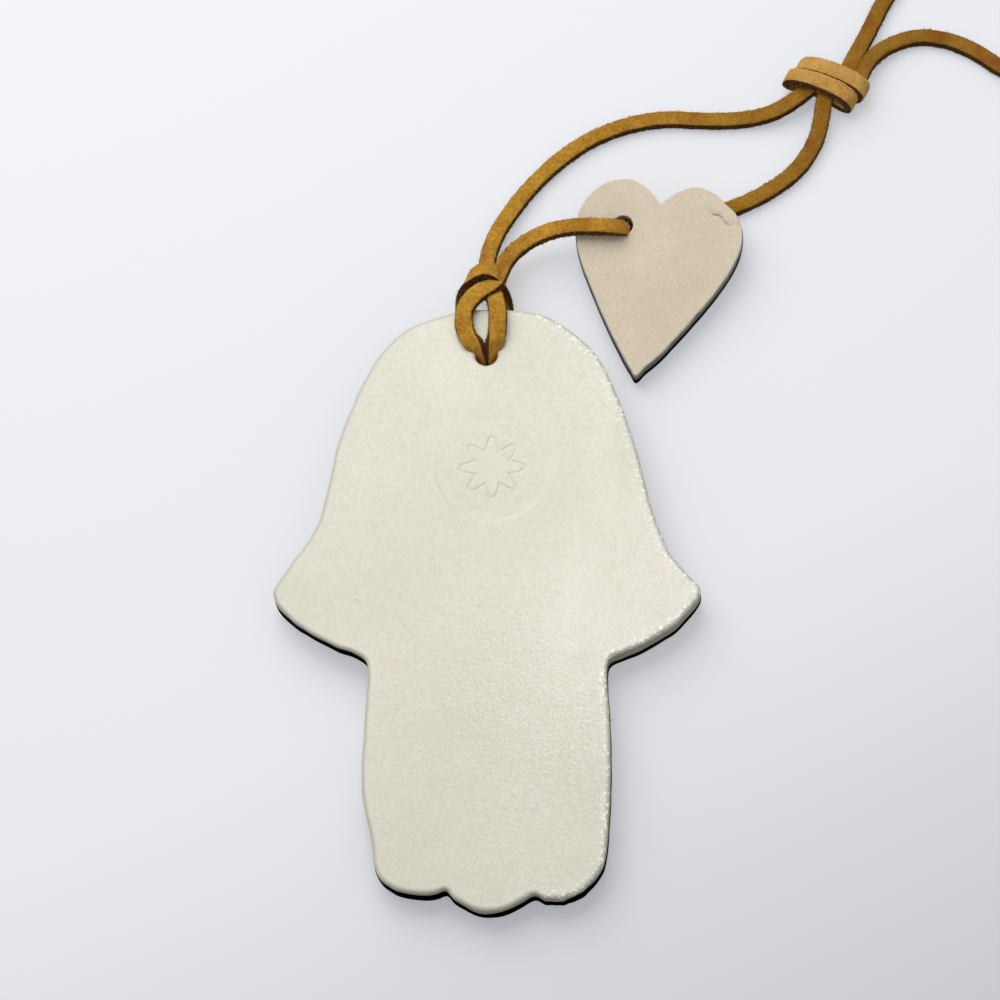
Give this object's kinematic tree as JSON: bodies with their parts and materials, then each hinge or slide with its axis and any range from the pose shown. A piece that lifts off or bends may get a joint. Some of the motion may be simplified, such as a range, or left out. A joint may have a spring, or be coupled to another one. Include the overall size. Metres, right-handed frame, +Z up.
{
  "type": "hamsa hand ornament",
  "caption": "Cut ceramic hamsa hand on a flat suede lace, hitched through its dome, with a small ceramic heart charm threaded on the same lace below the hanging knot.",
  "frame": {"origin": "on the table, under the middle of the bounding box of the hand and the heart", "axes": "+X across the hand to the heart's side, +Y from the fingers to the dome, +Z up from the table, out of the backs of hand and heart; the front faces are down"},
  "size_m": [0.1608, 0.198, 0.0098],
  "materials": {
    "hand_clay": "clear-glazed cream stoneware, finely mottled",
    "front_glaze": "dark blue-green gloss glaze",
    "heart_clay": "bare biscuit clay, matt",
    "suede_lace": "tan suede, matt and fibrous"
  },
  "bodies": {
    "hand": {"hand_clay": "hand_clay", "hand_front_glaze": "front_glaze", "lace_hitch": "suede_lace"},
    "lace": {"lace_plain_strand": "suede_lace", "lace_heart_strand": "suede_lace", "lace_knot": "suede_lace", "lace_hanging_loop": "suede_lace"},
    "heart": {"heart_clay": "heart_clay", "heart_front_glaze": "front_glaze"}
  },
  "joints": [
    {"name": "lace_swing", "type": "hinge", "parent": "hand", "child": "lace", "pos_m": [-0.0034, 0.0504, 0.0045], "axis": [0, 0, 1], "range_deg": [-2, 28]},
    {"name": "heart_turn", "type": "hinge", "parent": "lace", "child": "heart", "pos_m": [0.02067, 0.05925, 0.00413], "axis": [-0.0106, -0.0678, 0.9976], "range_deg": [-2, 40]}
  ]
}
